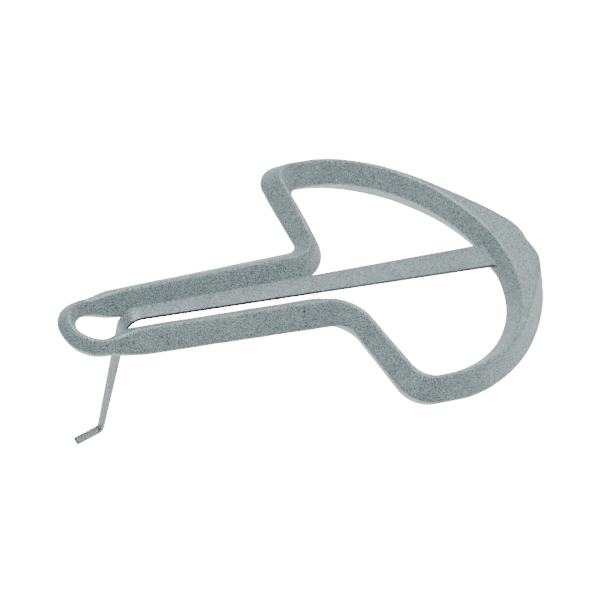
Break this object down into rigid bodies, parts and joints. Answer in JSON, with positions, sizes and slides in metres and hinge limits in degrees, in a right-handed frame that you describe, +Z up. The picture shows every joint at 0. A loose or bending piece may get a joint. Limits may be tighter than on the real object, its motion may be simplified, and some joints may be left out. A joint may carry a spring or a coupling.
{
  "type": "jaw harp",
  "caption": "Closed-frame jaw harp with a diamond-section bowed frame and a spring reed whose turned-down end is plucked.",
  "frame": {"origin": "middle of the footprint on the surface that the harp stands on, resting on its trigger and on the crown of the bow", "axes": "+X from the tip towards the crown of the bow, +Y across the two arms, +Z up; the frame's mid-plane rises towards the tip"},
  "size_m": [0.0862, 0.0574, 0.0299],
  "materials": {
    "frame_metal": "matte blasted",
    "reed_steel": "matte"
  },
  "bodies": {
    "frame": {"frame": "frame_metal", "reed_root": "reed_steel"},
    "reed": {"reed_tongue": "reed_steel"}
  },
  "joints": [
    {"name": "reed_bend", "type": "hinge", "parent": "frame", "child": "reed", "pos_m": [0.02506, 0, 0.00839], "axis": [0, 1, 0], "range_deg": [-6, 6], "stiffness_Nm_per_rad": 1.1, "springref_deg": -0.36}
  ]
}
